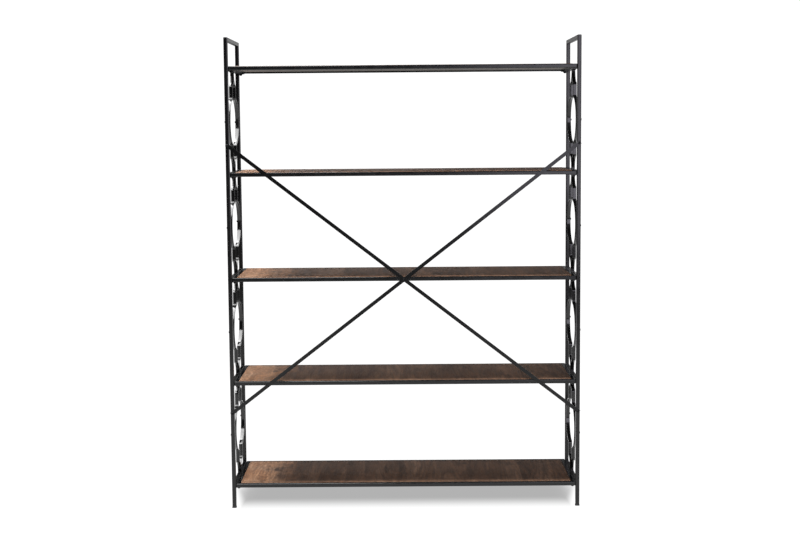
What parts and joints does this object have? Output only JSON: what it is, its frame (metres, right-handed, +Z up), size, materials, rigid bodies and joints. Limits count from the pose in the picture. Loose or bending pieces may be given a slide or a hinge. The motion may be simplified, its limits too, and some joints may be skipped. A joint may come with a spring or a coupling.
{
  "type": "open metal bookcase",
  "caption": "Tall open bookcase: black square-tube side frames with bent-bar lantern ornament, wood boards in metal rims, flat-bar X brace, liftable middle shelves.",
  "frame": {"origin": "on the floor, under the centre of the bounding box", "axes": "+Z up, X along the shelves, -Y toward the braced face"},
  "size_m": [1.2224, 0.357, 1.638],
  "materials": {
    "frame_metal": "satin black paint",
    "ornament_metal": "semi-gloss black paint",
    "shelf_metal": "satin black paint",
    "brace_metal": "satin black paint",
    "bolt_metal": "black oxide",
    "shelf_wood": "dark walnut stain, matt lacquer",
    "foot_plastic": "matt black"
  },
  "bodies": {
    "frame": {"left_front_post": "frame_metal", "left_front_foot_cap": "foot_plastic", "left_rear_post": "frame_metal", "left_rear_foot_cap": "foot_plastic", "left_top_bar": "frame_metal", "left_top_cross_rail": "frame_metal", "left_upper_cross_rail": "frame_metal", "left_middle_cross_rail": "frame_metal", "left_lower_cross_rail": "frame_metal", "left_bottom_cross_rail": "frame_metal", "left_ornament_bay_1_front": "ornament_metal", "left_ornament_bay_1_rear": "ornament_metal", "left_ornament_bay_2_front": "ornament_metal", "left_ornament_bay_2_rear": "ornament_metal", "left_ornament_bay_3_front": "ornament_metal", "left_ornament_bay_3_rear": "ornament_metal", "left_ornament_bay_4_front": "ornament_metal", "left_ornament_bay_4_rear": "ornament_metal", "right_front_post": "frame_metal", "right_front_foot_cap": "foot_plastic", "right_rear_post": "frame_metal", "right_rear_foot_cap": "foot_plastic", "right_top_bar": "frame_metal", "right_top_cross_rail": "frame_metal", "right_upper_cross_rail": "frame_metal", "right_middle_cross_rail": "frame_metal", "right_lower_cross_rail": "frame_metal", "right_bottom_cross_rail": "frame_metal", "right_ornament_bay_1_front": "ornament_metal", "right_ornament_bay_1_rear": "ornament_metal", "right_ornament_bay_2_front": "ornament_metal", "right_ornament_bay_2_rear": "ornament_metal", "right_ornament_bay_3_front": "ornament_metal", "right_ornament_bay_3_rear": "ornament_metal", "right_ornament_bay_4_front": "ornament_metal", "right_ornament_bay_4_rear": "ornament_metal", "brace_bar_falling": "brace_metal", "brace_bar_rising": "brace_metal", "brace_bolt_lower_left": "bolt_metal", "brace_bolt_lower_right": "bolt_metal", "brace_bolt_upper_left": "bolt_metal", "brace_bolt_upper_right": "bolt_metal", "brace_centre_rivet": "bolt_metal", "top_shelf_frame": "shelf_metal", "top_shelf_board": "shelf_wood", "bottom_shelf_frame": "shelf_metal", "bottom_shelf_board": "shelf_wood"},
    "upper_shelf": {"upper_shelf_frame": "shelf_metal", "upper_shelf_board": "shelf_wood"},
    "middle_shelf": {"middle_shelf_frame": "shelf_metal", "middle_shelf_board": "shelf_wood"},
    "lower_shelf": {"lower_shelf_frame": "shelf_metal", "lower_shelf_board": "shelf_wood"}
  },
  "joints": [
    {"name": "upper_shelf_lift", "type": "slide", "parent": "frame", "child": "upper_shelf", "axis": [0, 0, 1], "range_m": [0, 0.1815]},
    {"name": "middle_shelf_lift", "type": "slide", "parent": "frame", "child": "middle_shelf", "axis": [0, 0, 1], "range_m": [0, 0.1815]},
    {"name": "lower_shelf_lift", "type": "slide", "parent": "frame", "child": "lower_shelf", "axis": [0, 0, 1], "range_m": [0, 0.1815]}
  ]
}
